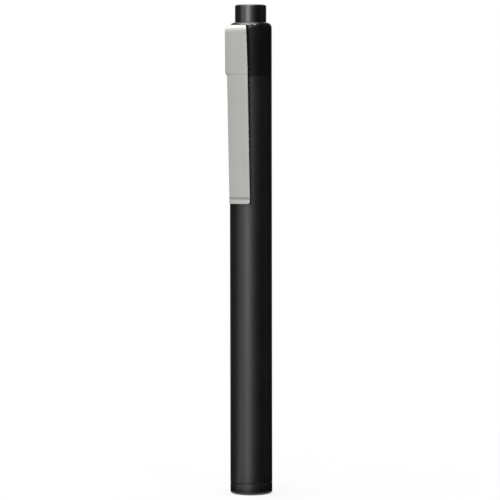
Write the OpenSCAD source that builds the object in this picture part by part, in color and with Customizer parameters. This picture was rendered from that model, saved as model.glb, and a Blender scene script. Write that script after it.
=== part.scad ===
// Pocket penlight for two slim cells, with a push button in the tail cap and a spring clip.
// Millimetres. The lens face lies on z = 0, the button points up, the clip is on the -Y side.

/* [Body] */
// Outside diameter of the barrel, tail cap and bezel
body_d = 13; // [11:0.1:16]
// Wall of the barrel
barrel_wall = 1; // [0.8:0.05:1.4]
// Extra depth of the threaded socket at each end of the barrel
socket_step = 0.45; // [0.35:0.05:0.55]
// Radial running gap between a spigot and its socket
fit_gap = 0.05; // [0.02:0.01:0.08]
// Bevel on the edges that meet at a seam
seam_bevel = 0.15; // [0.05:0.05:0.3]

/* [Tail cap] */
// Length of the threaded spigot on the tail cap
spigot_l = 9; // [8:0.5:12]
// Wall of the threaded spigot on the tail cap
spigot_wall = 1.05; // [0.9:0.05:1.2]
// Width of the tail cap's rim round the clip ring
cap_rim_w = 0.7; // [0.6:0.05:0.9]
// Thickness of the wall that guides the button stem
guide_wall_h = 2; // [1.6:0.1:3]
// Depth from the clip ring seat down to the guide wall
button_pocket_h = 3; // [2.6:0.1:5]
// Radius of the rounded shoulder at the top
shoulder_r = 1.6; // [1.2:0.1:1.7]
// Width of the seat that the clip ring lies on
ring_seat_w = 0.8; // [0.6:0.05:0.9]
// Height of the collar that holds the clip ring down
collar_h = 1.05; // [0.9:0.05:1.2]
// Thickness of the rubber ring on the spigot
seal_t = 0.6; // [0.5:0.05:0.65]

/* [Push button] */
// Height of the button above the tail cap
button_proud = 5.35; // [3:0.05:8]
// Radial gap round the button
button_gap = 0.15; // [0.1:0.01:0.2]
// Radius of the button's top edge
button_edge_r = 0.55; // [0.2:0.05:1]
// Travel of the button
button_travel = 1.8; // [1:0.1:1.9]
// Step from the button pocket in to the stem
stem_step = 1.8; // [1.6:0.05:2.2]
// Thickness of the clip that keeps the button in
retainer_t = 0.5; // [0.3:0.05:0.6]
// Thickness of the rubber ring round the stem
stem_seal_t = 0.72; // [0.6:0.02:0.8]

/* [Clip] */
// Sheet thickness of the clip
clip_t = 0.8; // [0.6:0.05:0.9]
// Width of the clip's arm
clip_w = 7.1; // [6:0.05:8]
// Width of the panel where it leaves the bend
clip_top_w = 7.4; // [6.4:0.1:8.2]
// Width of the panel at its lower end
clip_panel_w = 7.8; // [6.6:0.1:8.6]
// Length of the panel at the top of the arm
clip_panel_l = 13.4; // [8:0.1:18]
// Width of the neck between ring and arm
clip_neck_w = 4.8; // [4:0.1:5.6]
// Outer radius of the bend at the top
clip_bend_r = 1.6; // [1.2:0.1:2]
// Length of the arm below the bend
clip_l = 53; // [40:0.2:70]
// Gap between the body and the top of the arm
clip_standoff = 2.5; // [2:0.1:4]
// Gap between the body and the toe
clip_toe_gap = 0.1; // [0.06:0.02:0.3]
// Width of the bevelled rim along each side of the arm
clip_rim_w = 0.95; // [0.6:0.05:1.4]
// Drop of that rim
clip_rim_drop = 0.1; // [0.1:0.02:0.4]
// How far the panel stands above the line of the arm
clip_step = 0.55; // [0.2:0.05:0.8]
// Outward flare of the lip at the toe
clip_lip_out = 0.6; // [0.3:0.1:1.2]
// Length of the lip
clip_lip_l = 1.8; // [1.5:0.1:4]

/* [Cells] */
// Radial gap between the barrel and a cell, which is 10.5 wide in a barrel of 13
cell_gap = 0.25; // [0.15:0.05:0.5]
// Length of one cell
cell_l = 44.5; // [44:0.1:45]
// Height of the raised positive end of a cell
nub_h = 0.9; // [0.7:0.05:1.2]
// Diameter of the raised positive end of a cell
nub_d = 3.8; // [3.2:0.1:4.2]
// Thickness of the printed sleeve on a cell
jacket_t = 0.1; // [0.06:0.01:0.15]

/* [Switch] */
// Length of the pressed battery spring
battery_spring_l = 10.4; // [9:0.1:13]
// Turns of the battery spring
battery_spring_turns = 5.5; // [4:0.5:6]
// Wire diameter of the battery spring
battery_wire_d = 0.6; // [0.4:0.05:0.7]
// Height of the ring that holds the switch in
holding_ring_h = 2.2; // [1.6:0.1:3]
// Height of the switch base
switch_base_h = 1; // [0.8:0.1:1.6]
// Height of the switch case
switch_case_h = 11; // [10.6:0.1:13]
// Wall of the switch case
switch_wall = 0.8; // [0.6:0.05:0.9]
// Diameter of the plunger
plunger_d = 3.2; // [2.8:0.1:3.4]
// Wire diameter of the return spring
return_wire_d = 0.4; // [0.3:0.05:0.45]
// Turns of the return spring
return_spring_turns = 3.5; // [2.5:0.5:3.5]
// Sheet thickness of the contacts
contact_t = 0.3; // [0.2:0.05:0.4]

/* [Head] */
// Height of the bezel ring below the barrel
bezel_h = 3.6; // [3:0.1:6]
// Length of the threaded spigot on the bezel
bezel_spigot_l = 6; // [4:0.1:6.4]
// Radius of the rounded edge at the lens end
bezel_edge_r = 0.7; // [0.3:0.1:1]
// Bevel on the bezel's edge at the seam
bezel_bevel = 0.38; // [0.2:0.02:0.6]
// Thickness of the lip in front of the lens
bezel_lip_h = 1; // [0.8:0.1:1.6]
// Wall of the threaded spigot on the bezel
bezel_wall = 0.85; // [0.7:0.05:1]
// Width of the lip in front of the lens
bezel_lip_w = 0.5; // [0.3:0.05:0.9]
// Thickness of the lens
lens_h = 1.5; // [1:0.1:2]
// Thickness of the flat seal in front of the lens
lens_seal_h = 0.3; // [0.2:0.05:0.6]
// Depth of the reflector
reflector_h = 8.6; // [8:0.1:10]
// Wall of the reflector
reflector_wall = 0.5; // [0.4:0.05:0.7]
// Width of the light source
led_w = 3; // [2.4:0.1:3.2]
// Thickness of the board that carries the light source
led_board_h = 1; // [0.8:0.1:1.6]
// Height of the heat sink
sink_h = 8.4; // [7.4:0.1:10]
// Thickness of the driver board
driver_board_h = 0.8; // [0.6:0.1:1.2]
// Height of the positive contact
positive_h = 2.4; // [1.6:0.1:3]

/* [Hidden] */

$fn = 96;

// Overshoot of a cut beyond the face it opens
cut = 1;
// Gap between pieces that touch on the real light
touch = 0.02;
// Gap between a moving piece and the stop that it rests on
rest_gap = 0.05;
// Gap that a piece keeps from its neighbour where neither guides the other
loose_gap = 0.1;
// Free depth of a socket beyond its spigot
socket_relief = 0.4;
// Gap left under the stem and under the button's head when the button is pressed in
stem_gap = 0.2;
head_gap = 0.3;
// Distance of the retainer from the end of the stem, and its depth in the stem
retainer_inset = 0.65;
retainer_depth = 0.5;

// Radii that pieces share
body_r = body_d / 2;
bore_r = body_r - barrel_wall;
socket_r = bore_r + socket_step;
spigot_r = socket_r - fit_gap;
switch_bore_r = spigot_r - spigot_wall;
module_r = switch_bore_r - fit_gap;
ring_seat_r = body_r - cap_rim_w;
pocket_r = ring_seat_r - ring_seat_w;
button_r = pocket_r - button_gap;
stem_r = pocket_r - stem_step;
guide_r = stem_r + fit_gap;
plunger_r = plunger_d / 2;
cell_r = bore_r - cell_gap;
lens_bore_r = spigot_r - bezel_wall;
lens_r = lens_bore_r - fit_gap;
opening_r = lens_r - bezel_lip_w;

// Heights of the head, from the lens face up
lens_seal_z = bezel_lip_h;
lens_z = lens_seal_z + lens_seal_h;
reflector_z = lens_z + lens_h;
led_board_z = reflector_z + reflector_h;
sink_z = led_board_z + led_board_h;
driver_z = sink_z + sink_h;
contact_z = driver_z + driver_board_h;
lower_cell_z = contact_z + positive_h;
upper_cell_z = lower_cell_z + cell_l;
cells_top_z = upper_cell_z + cell_l;

// Heights of the tail, from the cells up
switch_z = cells_top_z + battery_spring_l;
holding_ring_z = switch_z - holding_ring_h;
holding_ring_recess = 1.6;
spigot_z = holding_ring_z - holding_ring_recess;
seam_z = spigot_z + spigot_l;
case_z = switch_z + switch_base_h;
case_top_z = case_z + switch_case_h;
stem_z = case_top_z + button_travel + stem_gap;
retainer_z = stem_z + retainer_inset;
guide_z = retainer_z + retainer_t + rest_gap;
guide_top_z = guide_z + guide_wall_h;
ring_seat_z = guide_top_z + button_pocket_h;
ring_top_z = ring_seat_z + clip_t;
cap_top_z = ring_top_z + collar_h;
button_top_z = cap_top_z + button_proud;
button_z = guide_top_z + button_travel + head_gap;

// Line of the clip: radii of its outer face, and distances down from the hinge line
hinge_z = ring_top_z - clip_bend_r;
clip_top_r = body_r + clip_standoff + clip_t;
clip_toe_r = body_r + clip_toe_gap + clip_t;
clip_toe_s = clip_l - clip_lip_l;
clip_flex_gap = 0.05;
clip_joggle_l = 1.6;
clip_corner_l = 1.4;
clip_corner_in = 1;

// A ring between two radii and two heights
module tube(r_out, r_in, z_low, z_high) {
    difference() {
        translate([0, 0, z_low]) cylinder(r = r_out, h = z_high - z_low);
        translate([0, 0, z_low - cut]) cylinder(r = r_in, h = z_high - z_low + 2 * cut);
    }
}

// A solid disc between two heights
module disc(r, z_low, z_high) {
    translate([0, 0, z_low]) cylinder(r = r, h = z_high - z_low);
}

// A ring of round section
module round_ring(r_in, t, z_mid) {
    translate([0, 0, z_mid]) rotate_extrude() translate([r_in + t / 2, 0]) circle(d = t, $fn = 32);
}

// A disc whose top edge is rounded
module crowned_disc(r, edge_r, z_low, z_high) {
    rotate_extrude() union() {
        translate([0, z_low]) square([r - edge_r, z_high - z_low]);
        translate([0, z_low]) square([r, z_high - z_low - edge_r]);
        translate([r - edge_r, z_high - edge_r]) circle(edge_r);
    }
}

// A cone that bevels the outer edge of a round end, pointing up or down from z_edge
module edge_bevel(r, bevel, z_edge, up) {
    translate([0, 0, z_edge]) mirror([0, 0, up ? 0 : 1]) difference() {
        translate([0, 0, -bevel]) cylinder(r = r + cut, h = bevel + cut);
        translate([0, 0, -bevel]) cylinder(r1 = r, r2 = r - bevel, h = bevel);
        translate([0, 0, -bevel]) cylinder(r = r - bevel, h = bevel + 2 * cut);
    }
}

// Points round a wire whose middle line is a helix that may taper
function helix_point(u, turns, r_low, r_high, z_low, z_high) =
    let (a = 360 * turns * u, r = r_low + (r_high - r_low) * u)
    [r * cos(a), r * sin(a), z_low + (z_high - z_low) * u];
function wire_ring(u, turns, r_low, r_high, z_low, z_high, wire_r, sides) =
    let (a = 360 * turns * u, mid = helix_point(u, turns, r_low, r_high, z_low, z_high))
    [for (k = [0:sides - 1]) let (b = 360 * k / sides)
        mid + wire_r * [cos(b) * cos(a), cos(b) * sin(a), sin(b)]];

// Least distance between the middle lines of neighbouring turns, less the wire
function turn_gap(turns, r_low, r_high, z_low, z_high, wire_r) =
    min([for (i = [0:8 * (turns - 1)]) let (u = i / (8 * turns), v = u + 1 / turns)
        norm(helix_point(v, turns, r_low, r_high, z_low, z_high)
            - helix_point(u, turns, r_low, r_high, z_low, z_high)) - 2 * wire_r]);

// One unbroken tube wound into a spring
module wound_wire(turns, r_low, r_high, z_low, z_high, wire_r) {
    rings_a_turn = 8;
    sides = 6;
    last = turns * rings_a_turn;
    points = [for (i = [0:last])
        each wire_ring(i / last, turns, r_low, r_high, z_low, z_high, wire_r, sides)];
    walls = [for (i = [0:last - 1], k = [0:sides - 1])
        let (a = i * sides + k, b = i * sides + (k + 1) % sides)
        each [[a, b, a + sides], [b, b + sides, a + sides]]];
    low_end = [for (k = [1:sides - 2]) [0, k + 1, k]];
    high_end = [for (k = [1:sides - 2]) let (first = last * sides) [first, first + k, first + k + 1]];
    polyhedron(points, concat(walls, low_end, high_end));
}

// Smooth step from 0 to 1 as s goes from a to b
function ease(a, b, s) =
    let (u = min(1, max(0, (s - a) / (b - a))))
    u * u * (3 - 2 * u);

// Radius of the clip's outer face at distance s below the hinge line
function clip_line_r(s) = clip_top_r - clip_step
    + (clip_toe_r - clip_top_r + clip_step) * min(s, clip_toe_s) / clip_toe_s;
function clip_panel_r(s) = clip_top_r
    - (clip_top_r - clip_line_r(clip_panel_l) - clip_step) * s / clip_panel_l;
function clip_lip_r(s) = clip_lip_out * pow(max(0, s - clip_toe_s) / clip_lip_l, 2);
function clip_face_r(s) =
    let (m = ease(clip_panel_l - clip_joggle_l / 2, clip_panel_l + clip_joggle_l / 2, s))
    (1 - m) * clip_panel_r(min(s, clip_panel_l + clip_joggle_l)) + m * clip_line_r(s) + clip_lip_r(s);

// Width of the bend, from the panel at 0 degrees to the neck at 90
function clip_bend_w(a) = clip_neck_w + (clip_top_w - clip_neck_w) * cos(a);

// Half width of the arm at distance s: a step below the panel, and rounded corners at the toe
function clip_corner(d) = clip_corner_in * (1 - sqrt(1 - pow(1 - min(1, d / clip_corner_l), 2)));
function clip_half_w(s) =
    let (m = ease(clip_panel_l - clip_joggle_l / 2, clip_panel_l + clip_joggle_l / 2, s),
        panel_w = clip_top_w + (clip_panel_w - clip_top_w) * min(1, s / clip_panel_l))
    ((1 - m) * panel_w + m * clip_w) / 2 - clip_corner(clip_l - s);

// Cross section of the clip at distance s: a flat panel between two bevelled rims
function clip_section(s) =
    let (ds = 0.01,
        slope = (clip_face_r(min(s + ds, clip_l)) - clip_face_r(max(s - ds, 0)))
            / (min(s + ds, clip_l) - max(s - ds, 0)),
        lean = s > clip_flex_gap ? atan(slope) : 0,
        w = clip_half_w(s),
        flat = w - clip_rim_w,
        rim_y = clip_rim_drop,
        back_y = clip_rim_drop + clip_t,
        outer = [[-w, rim_y], [-flat, 0], [flat, 0], [w, rim_y]],
        inner = [[w, back_y], [flat, clip_t], [-flat, clip_t], [-w, back_y]])
    [for (p = concat(outer, inner))
        [p[0], -clip_face_r(s) + p[1] * cos(lean), hinge_z - s - p[1] * sin(lean)]];

// Distances at which the clip's cross section is drawn
clip_stations = concat(
    [clip_flex_gap, clip_flex_gap + clip_t, clip_panel_l / 2],
    [for (k = [0:8]) clip_panel_l + clip_joggle_l * (k / 8 - 0.5)],
    [for (k = [1:5]) clip_panel_l + clip_joggle_l / 2
        + (clip_toe_s - clip_panel_l - clip_joggle_l / 2) * k / 5],
    [for (k = [1:8]) clip_toe_s + clip_lip_l * k / 8]);

module barrel() {
    color("#26282a") difference() {
        disc(body_r, bezel_h, seam_z);
        disc(bore_r, bezel_h - cut, seam_z + cut);
        disc(socket_r, bezel_h - cut, bezel_h + bezel_spigot_l + socket_relief);
        disc(socket_r, spigot_z - socket_relief, seam_z + cut);
        edge_bevel(body_r, seam_bevel, seam_z, true);
        edge_bevel(body_r, seam_bevel, bezel_h, false);
    }
}

// Rubber groove on a spigot: the ring fills it but for a small gap all round
module seal_groove(z_mid, t) {
    tube(spigot_r + cut, spigot_r - t - fit_gap, z_mid - t / 2 - fit_gap, z_mid + t / 2 + fit_gap);
}

// Distance of a rubber ring from the seam that it seals, beside its own thickness
seal_inset = 0.4;
bezel_seal_t = seal_t - loose_gap;
bezel_seal_z = bezel_h + bezel_seal_t + seal_inset;

module bezel_ring() {
    opening_bevel = 0.4;
    color("#1d1e1f") difference() {
        union() {
            mirror([0, 0, 1]) crowned_disc(body_r, bezel_edge_r, -bezel_h, 0);
            disc(spigot_r, bezel_h - cut, bezel_h + bezel_spigot_l);
        }
        disc(opening_r, -cut, bezel_h);
        translate([0, 0, -touch])
            cylinder(r1 = opening_r + opening_bevel, r2 = opening_r, h = opening_bevel);
        disc(lens_bore_r, lens_seal_z, bezel_h + bezel_spigot_l + cut);
        edge_bevel(body_r, bezel_bevel, bezel_h, true);
        seal_groove(bezel_seal_z, bezel_seal_t);
    }
}

module bezel_seal() {
    color("#111111") round_ring(spigot_r - bezel_seal_t, bezel_seal_t, bezel_seal_z);
}

module lens_seal() {
    color("#151515") tube(lens_r, opening_r + loose_gap, lens_seal_z, lens_z);
}

module lens() {
    lens_bevel = 0.2;
    color("#dfeaf0", 0.5) difference() {
        disc(lens_r, lens_z, reflector_z);
        edge_bevel(lens_r, lens_bevel, lens_z, false);
        edge_bevel(lens_r, lens_bevel, reflector_z, true);
    }
}

// Radii of the reflector: a parabola from the light source out to the rim
led_gap = 0.15;
led_hole_r = led_w / 2 * sqrt(2) + led_gap;
reflector_mouth_r = lens_r - reflector_wall - loose_gap;
function reflector_r(h) =
    sqrt(pow(led_hole_r, 2) + (pow(reflector_mouth_r, 2) - pow(led_hole_r, 2)) * (1 - h / reflector_h));

module reflector() {
    rings = 14;
    rim_h = 0.8;
    mirror_line = [for (k = [0:rings]) let (h = reflector_h * k / rings) [reflector_r(h), reflector_z + h]];
    back_line = [for (k = [rings:-1:0]) let (h = rim_h + (reflector_h - rim_h) * k / rings)
        [reflector_r(h) + reflector_wall, reflector_z + h]];
    rim = [[lens_r, reflector_z + rim_h], [lens_r, reflector_z]];
    color("#d8dadc") rotate_extrude() polygon(concat(mirror_line, back_line, rim));
}

led_h = 0.7;
led_z = led_board_z - led_h;

module led_dome() {
    dome_r = led_w * 0.4;
    color("#f4e6a0", 0.8) intersection() {
        translate([0, 0, led_z - touch]) sphere(r = dome_r);
        disc(led_w, led_z - touch - 2 * dome_r, led_z - touch);
    }
}

module led_package() {
    color("#f2f1ea") translate([-led_w / 2, -led_w / 2, led_z]) cube([led_w, led_w, led_h]);
}

// Two leads run from the driver, through the heat sink, to the light source's board
sink_base_h = 2;
sink_wall = 1;
sink_r = bore_r - fit_gap;
sink_cavity_r = sink_r - sink_wall;
lead_r = 0.35;
lead_hole_r = 0.6;
lead_inset = 1.55;
lead_x = sink_cavity_r - lead_inset;
led_board_r = sink_r - 2 * loose_gap;
driver_board_r = sink_r - 3 * loose_gap;

module led_board() {
    color("#e8e8e4") disc(led_board_r, led_board_z, sink_z);
}

module led_leads() {
    color("#b23a2e") for (side = [-1, 1])
        translate([side * lead_x, 0, sink_z]) cylinder(r = lead_r, h = sink_h);
}

module heat_sink() {
    color("#b99a4b") difference() {
        disc(sink_r, sink_z, driver_z);
        disc(sink_cavity_r, sink_z + sink_base_h, driver_z + cut);
        for (side = [-1, 1])
            translate([side * lead_x, 0, sink_z - cut])
                cylinder(r = lead_hole_r, h = sink_base_h + 2 * cut);
    }
}

module driver_board() {
    color("#1f6b3c") disc(driver_board_r, driver_z, contact_z);
}

module driver_parts() {
    coil_r = 1.5;
    coil_h = 2.4;
    coil_y = sink_cavity_r - coil_r - 1.05;
    chip = [2.4, 1.6, 0.9];
    small = [1.2, 0.7, 0.6];
    small_x = 1.1;
    small_y = 1.25 - sink_cavity_r;
    chip_y = small_y + small[1] + 3 * loose_gap;
    color("#2b2b2d") union() {
        translate([0, coil_y, driver_z - coil_h]) cylinder(r = coil_r, h = coil_h);
        translate([-chip[0] / 2, chip_y, driver_z - chip[2]]) cube(chip);
        for (side = [-1, 1])
            translate([side * small_x - small[0] / 2, small_y, driver_z - small[2]]) cube(small);
    }
}

positive_r = nub_d / 2 + loose_gap;

module contact_insulator() {
    color("#d9d4c4") tube(driver_board_r, positive_r + loose_gap, contact_z, contact_z + positive_h / 3);
}

module positive_contact() {
    edge_r = 0.4;
    color("#d7b45a") crowned_disc(positive_r, edge_r, contact_z, lower_cell_z - touch);
}

// Parts of one cell, whose positive end is at height z
nub_r = nub_d / 2;
nub_edge_r = 0.2;
cell_seal_h = 0.4;
cell_seal_inset = 0.3;
jacket_inset = 0.2;
can_r = cell_r - jacket_t - touch;

module cell_cap(z) {
    color("#cfd2d4") mirror([0, 0, 1]) crowned_disc(nub_r, nub_edge_r, -z - nub_h - cell_seal_h, -z);
}

module cell_seal(z) {
    color("#3b3b40") tube(can_r - cell_seal_inset, nub_r + touch, z + nub_h, z + nub_h + cell_seal_h);
}

module cell_can(z) {
    color("#c3c6c9") disc(can_r, z + nub_h + cell_seal_h, z + cell_l - touch);
}

module cell_jacket(z) {
    color("#3d5a73") tube(cell_r, can_r + touch, z + nub_h, z + cell_l - jacket_inset);
}

module lower_cell_cap() { cell_cap(lower_cell_z); }
module lower_cell_seal() { cell_seal(lower_cell_z); }
module lower_cell_can() { cell_can(lower_cell_z); }
module lower_cell_jacket() { cell_jacket(lower_cell_z); }
module upper_cell_cap() { cell_cap(upper_cell_z); }
module upper_cell_seal() { cell_seal(upper_cell_z); }
module upper_cell_can() { cell_can(upper_cell_z); }
module upper_cell_jacket() { cell_jacket(upper_cell_z); }

cap_seal_z = seam_z - seal_t - seal_inset;

module cap_seal_ring() {
    color("#141414") round_ring(spigot_r - seal_t, seal_t, cap_seal_z);
}

// Outer form of the tail cap, which the collar shares
module cap_form() {
    crowned_disc(body_r, shoulder_r, seam_z, cap_top_z);
}

// Slot across the rim of the cap for the clip's neck
neck_gap = 0.1;
module neck_slot(w, z_low) {
    translate([-w / 2, -body_r - cut, z_low]) cube([w, body_r + cut - pocket_r, cap_top_z + cut - z_low]);
}

// Groove in the guide wall for the rubber ring round the stem
gland_z = guide_z + guide_wall_h / 2;
gland_r = guide_r + stem_seal_t + fit_gap;
gland_half_h = stem_seal_t / 2 + touch;

module tail_cap() {
    color("#1b1c1d") difference() {
        union() {
            cap_form();
            disc(spigot_r, spigot_z, seam_z + cut);
        }
        disc(switch_bore_r, spigot_z - cut, guide_z);
        disc(guide_r, guide_z - cut, guide_top_z + cut);
        disc(gland_r, gland_z - gland_half_h, gland_z + gland_half_h);
        disc(pocket_r, guide_top_z, cap_top_z + cut);
        disc(ring_seat_r, ring_seat_z, cap_top_z + cut);
        neck_slot(clip_neck_w + 2 * neck_gap, ring_seat_z);
        edge_bevel(body_r, seam_bevel, seam_z, false);
        seal_groove(cap_seal_z, seal_t);
    }
}

module tail_collar() {
    color("#0f1011") intersection() {
        cap_form();
        union() {
            tube(ring_seat_r - touch, pocket_r, ring_top_z + touch, cap_top_z + cut);
            intersection() {
                neck_slot(clip_neck_w + neck_gap, ring_top_z + touch);
                disc(body_r + cut, ring_top_z, cap_top_z + cut);
            }
        }
    }
}

// Ring, neck and bend of the clip. The bend narrows to the neck, drawn as seen along the line that halves it
module clip_root() {
    bend_y = -clip_top_r + clip_bend_r;
    bend_steps = 6;
    outline_r = clip_bend_r + loose_gap;
    right_side = [for (a = [0:90 / bend_steps:90]) [clip_bend_w(a) / 2, outline_r * sin(a - 45)]];
    left_side = [for (k = [len(right_side) - 1:-1:0]) [-right_side[k][0], right_side[k][1]]];
    color("#c4c4bf") union() {
        tube(ring_seat_r - rest_gap, pocket_r + touch, ring_seat_z, ring_top_z);
        translate([-clip_neck_w / 2, bend_y, ring_seat_z])
            cube([clip_neck_w, -bend_y - pocket_r - ring_seat_w / 2, clip_t]);
        translate([0, bend_y, hinge_z]) intersection() {
            rotate([0, 90, 0]) difference() {
                cylinder(r = clip_bend_r, h = 2 * clip_top_w, center = true);
                cylinder(r = clip_bend_r - clip_t, h = 3 * clip_top_w, center = true);
            }
            translate([-clip_top_w / 2 - cut, -2 * clip_bend_r, 0])
                cube([clip_top_w + 2 * cut, 2 * clip_bend_r, 2 * clip_bend_r]);
            rotate([45, 0, 0]) linear_extrude(2 * clip_bend_r) polygon(concat(right_side, left_side));
        }
    }
}

// Arm of the clip: one formed strip with a raised panel, bevelled rims, a joggle and a flared toe
module clip_arm() {
    sections = [for (s = clip_stations) clip_section(s)];
    sides = len(sections[0]);
    last = len(sections) - 1;
    points = [for (ring = sections) each ring];
    walls = [for (i = [0:last - 1], k = [0:sides - 1])
        let (a = i * sides + k, b = i * sides + (k + 1) % sides)
        each [[a, a + sides, b], [b, a + sides, b + sides]]];
    top_end = [for (q = [[0, 1, 6, 7], [1, 2, 5, 6], [2, 3, 4, 5]])
        each [[q[0], q[1], q[2]], [q[0], q[2], q[3]]]];
    toe_end = [for (t = top_end) [for (k = [2:-1:0]) t[k] + last * sides]];
    color("#bcbcb6") polyhedron(points, concat(walls, top_end, toe_end));
}

module push_button() {
    groove_r = stem_r - retainer_depth;
    color("#0c0d0e") difference() {
        union() {
            crowned_disc(button_r, button_edge_r, button_z, button_top_z);
            disc(stem_r, stem_z, button_z + cut);
        }
        tube(stem_r + cut, groove_r, retainer_z - touch, retainer_z + retainer_t + touch);
    }
}

module button_retainer() {
    mouth_w = stem_r * 1.2;
    retainer_r = switch_bore_r - 3 * loose_gap;
    color("#9a9c9e") difference() {
        tube(retainer_r, stem_r - retainer_depth + touch, retainer_z, retainer_z + retainer_t);
        translate([-mouth_w / 2, 0, retainer_z - cut])
            cube([mouth_w, retainer_r + cut, retainer_t + 2 * cut]);
    }
}

module button_seal() {
    color("#141414") round_ring(guide_r, stem_seal_t, gland_z);
}

// Heights inside the switch
side_terminal_z = case_z + contact_t;
disc_z = side_terminal_z + button_travel + loose_gap;
seat_room_h = 0.7;
seat_roof_h = 0.8;
seat_wall = 0.4;
seat_top_z = disc_z + contact_t + seat_room_h + seat_roof_h;
case_roof_h = 1.2;
flange_h = 0.8;
flange_z = case_top_z - case_roof_h - head_gap - flange_h;

// Radii inside the switch
case_bore_r = module_r - switch_wall;
plunger_hole_r = plunger_r + loose_gap;
flange_r = case_bore_r - 3 * loose_gap;
contact_disc_r = case_bore_r - 6 * loose_gap;
holding_ring_w = 1.2;
holding_ring_hole_r = module_r - holding_ring_w;
plunger_tip_r = 0.6;
rivet_r = 0.9;
terminal_tab_w = 1.6;

module switch_case() {
    color("#e9e6dc") difference() {
        disc(module_r, case_z, case_top_z);
        disc(case_bore_r, case_z - cut, case_top_z - case_roof_h);
        disc(plunger_hole_r, case_z, case_top_z + cut);
        translate([0, -terminal_tab_w / 2 - touch, case_z - cut])
            cube([module_r + cut, terminal_tab_w + 2 * touch, contact_t + touch + cut]);
    }
}

module switch_base() {
    color("#dedacb") difference() {
        disc(module_r, switch_z, case_z);
        disc(rivet_r + touch, switch_z - cut, case_z + cut);
    }
}

module spring_seat() {
    seat_r = case_bore_r - touch;
    color("#d4d0c2") difference() {
        disc(seat_r, side_terminal_z, seat_top_z);
        disc(seat_r - seat_wall, side_terminal_z - cut, seat_top_z - seat_roof_h);
        disc(plunger_hole_r, side_terminal_z, seat_top_z + cut);
    }
}

// Ring that the contact disc closes onto, with a tab out to the tail cap
module side_terminal() {
    ring_r = case_bore_r - loose_gap;
    ring_w = 0.9;
    tab_x = ring_r - ring_w / 2;
    color("#c79a4a") union() {
        tube(ring_r, ring_r - ring_w, case_z, side_terminal_z);
        translate([tab_x, -terminal_tab_w / 2, case_z]) cube([module_r - tab_x, terminal_tab_w, contact_t]);
    }
}

// Riveted contact in the middle of the switch base
module centre_terminal() {
    foot_r = holding_ring_hole_r - holding_ring_w / 2;
    head_r = rivet_r + 0.5;
    color("#c79a4a") union() {
        disc(foot_r, switch_z - contact_t, switch_z);
        disc(rivet_r, switch_z - contact_t, side_terminal_z);
        disc(head_r, case_z, side_terminal_z);
    }
}

module switch_plunger() {
    color("#f0ede4") union() {
        disc(plunger_r, disc_z + contact_t, stem_z - touch);
        disc(flange_r, flange_z, flange_z + flange_h);
        disc(plunger_tip_r, disc_z, disc_z + 2 * contact_t);
    }
}

module contact_disc() {
    color("#d2a24e") tube(contact_disc_r, plunger_tip_r + touch, disc_z, disc_z + contact_t);
}

// Return spring of the switch, between its seat and the plunger's flange
return_r = (flange_r + plunger_r) / 2;
return_low_z = seat_top_z + return_wire_d / 2 + touch;
return_high_z = flange_z - return_wire_d / 2 - touch;

module switch_spring() {
    echo(least_gap_return_spring = turn_gap(return_spring_turns, return_r, return_r,
        return_low_z, return_high_z, return_wire_d / 2));
    color("#a9abad") wound_wire(return_spring_turns, return_r, return_r,
        return_low_z, return_high_z, return_wire_d / 2);
}

module holding_ring() {
    key_w = 1;
    key_h = 0.6;
    color("#a88b46") difference() {
        tube(module_r, holding_ring_hole_r, holding_ring_z, switch_z);
        for (turn = [0, 90])
            rotate([0, 0, turn]) translate([-body_d / 2, -key_w / 2, holding_ring_z - cut])
                cube([body_d, key_w, cut + key_h]);
    }
}

// Tapered spring between the switch and the upper cell
battery_foot_r = holding_ring_hole_r - 1;
battery_tip_r = battery_foot_r * 0.65;
battery_low_z = cells_top_z + rest_gap + battery_wire_d / 2;
battery_high_z = switch_z - contact_t - touch - battery_wire_d / 2;

module battery_spring() {
    echo(least_gap_battery_spring = turn_gap(battery_spring_turns, battery_tip_r, battery_foot_r,
        battery_low_z, battery_high_z, battery_wire_d / 2));
    color("#b4b6b8") wound_wire(battery_spring_turns, battery_tip_r, battery_foot_r,
        battery_low_z, battery_high_z, battery_wire_d / 2);
}

barrel();
bezel_ring();
bezel_seal();
lens_seal();
lens();
reflector();
led_dome();
led_package();
led_board();
led_leads();
heat_sink();
driver_board();
driver_parts();
contact_insulator();
positive_contact();
lower_cell_cap();
lower_cell_seal();
lower_cell_can();
lower_cell_jacket();
upper_cell_cap();
upper_cell_seal();
upper_cell_can();
upper_cell_jacket();
cap_seal_ring();
tail_cap();
tail_collar();
clip_root();
clip_arm();
push_button();
button_retainer();
button_seal();
switch_case();
switch_base();
spring_seat();
side_terminal();
centre_terminal();
switch_plunger();
contact_disc();
switch_spring();
holding_ring();
battery_spring();
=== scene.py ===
"""Looks of a slim penlight: matte barrel, satin tail cap, gloss button, brushed clip, lens and reflector.

Sizes are named in millimetres, and the meshes are in metres. The light stands on its lens end with its axis
on Z, and the clip is on the -Y side.
"""
import math

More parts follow.
